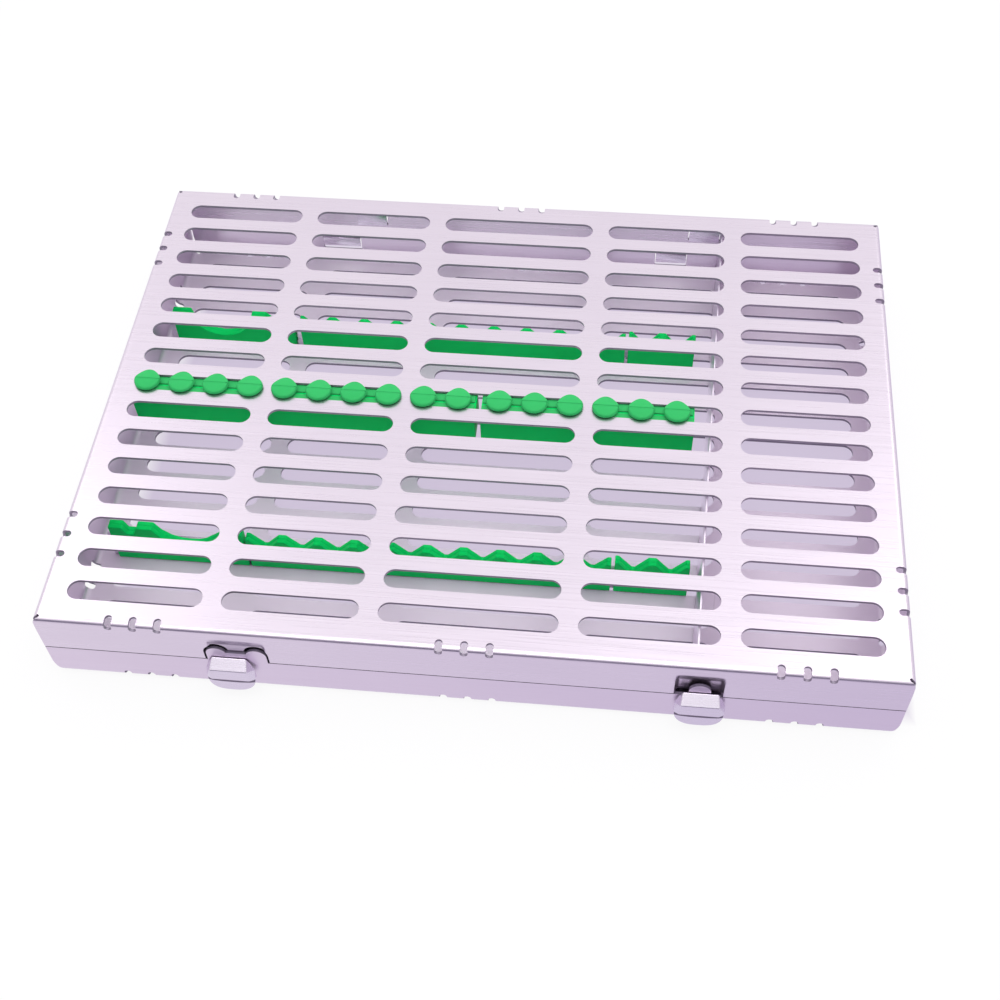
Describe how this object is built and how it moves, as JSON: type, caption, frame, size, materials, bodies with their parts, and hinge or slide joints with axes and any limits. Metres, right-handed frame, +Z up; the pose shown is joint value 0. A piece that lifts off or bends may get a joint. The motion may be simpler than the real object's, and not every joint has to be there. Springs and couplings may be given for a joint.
{
  "type": "dental instrument cassette",
  "caption": "Shallow perforated stainless box with a hinged lid, front latches, silicone instrument racks, a studded hold-down bar and a side compartment.",
  "frame": {"origin": "middle of the footprint, latches and hinges included, at the level of the bench", "axes": "+X to the right as seen from the latched side, +Y from the latches to the hinges, +Z up"},
  "size_m": [0.28, 0.2136, 0.0358],
  "materials": {
    "stainless_sheet": "fine brushed, slightly pinkish reflections",
    "bright_steel": "drawn, bright",
    "spring_steel": "drawn, satin",
    "green_silicone": "moulded silicone, satin"
  },
  "bodies": {
    "tray": {"tray_shell": "stainless_sheet", "compartment_divider": "stainless_sheet", "front_rack_rail": "stainless_sheet", "back_rack_rail": "stainless_sheet", "left_hinge_tray_strap": "stainless_sheet", "right_hinge_tray_strap": "stainless_sheet", "left_latch_bracket": "stainless_sheet", "right_latch_bracket": "stainless_sheet", "left_hinge_pin": "bright_steel", "right_hinge_pin": "bright_steel", "left_latch_pin": "bright_steel", "right_latch_pin": "bright_steel", "left_latch_spring": "spring_steel", "right_latch_spring": "spring_steel", "front_rack_holder_strip": "green_silicone", "front_rack_notched_strip": "green_silicone", "front_rack_end_strip": "green_silicone", "back_rack_holder_strip": "green_silicone", "back_rack_notched_strip": "green_silicone", "back_rack_end_strip": "green_silicone"},
    "lid": {"lid_shell": "stainless_sheet", "left_hold_down_strip": "green_silicone", "right_hold_down_strip": "green_silicone", "left_hinge_lid_strap": "stainless_sheet", "right_hinge_lid_strap": "stainless_sheet"},
    "left_latch": {"left_latch_plate": "stainless_sheet"},
    "right_latch": {"right_latch_plate": "stainless_sheet"}
  },
  "joints": [
    {"name": "lid_hinge", "type": "hinge", "parent": "tray", "child": "lid", "pos_m": [0, 0.10485, 0.01665], "axis": [-1, 0, 0], "range_deg": [0, 178]},
    {"name": "left_latch_pivot", "type": "hinge", "parent": "tray", "child": "left_latch", "pos_m": [-0.0777, -0.1043, 0.014], "axis": [1, 0, 0], "range_deg": [0, 14], "stiffness_Nm_per_rad": 0.015, "springref_deg": -22.92},
    {"name": "right_latch_pivot", "type": "hinge", "parent": "tray", "child": "right_latch", "pos_m": [0.0755, -0.1043, 0.014], "axis": [1, 0, 0], "range_deg": [0, 14], "stiffness_Nm_per_rad": 0.015, "springref_deg": -22.92}
  ]
}
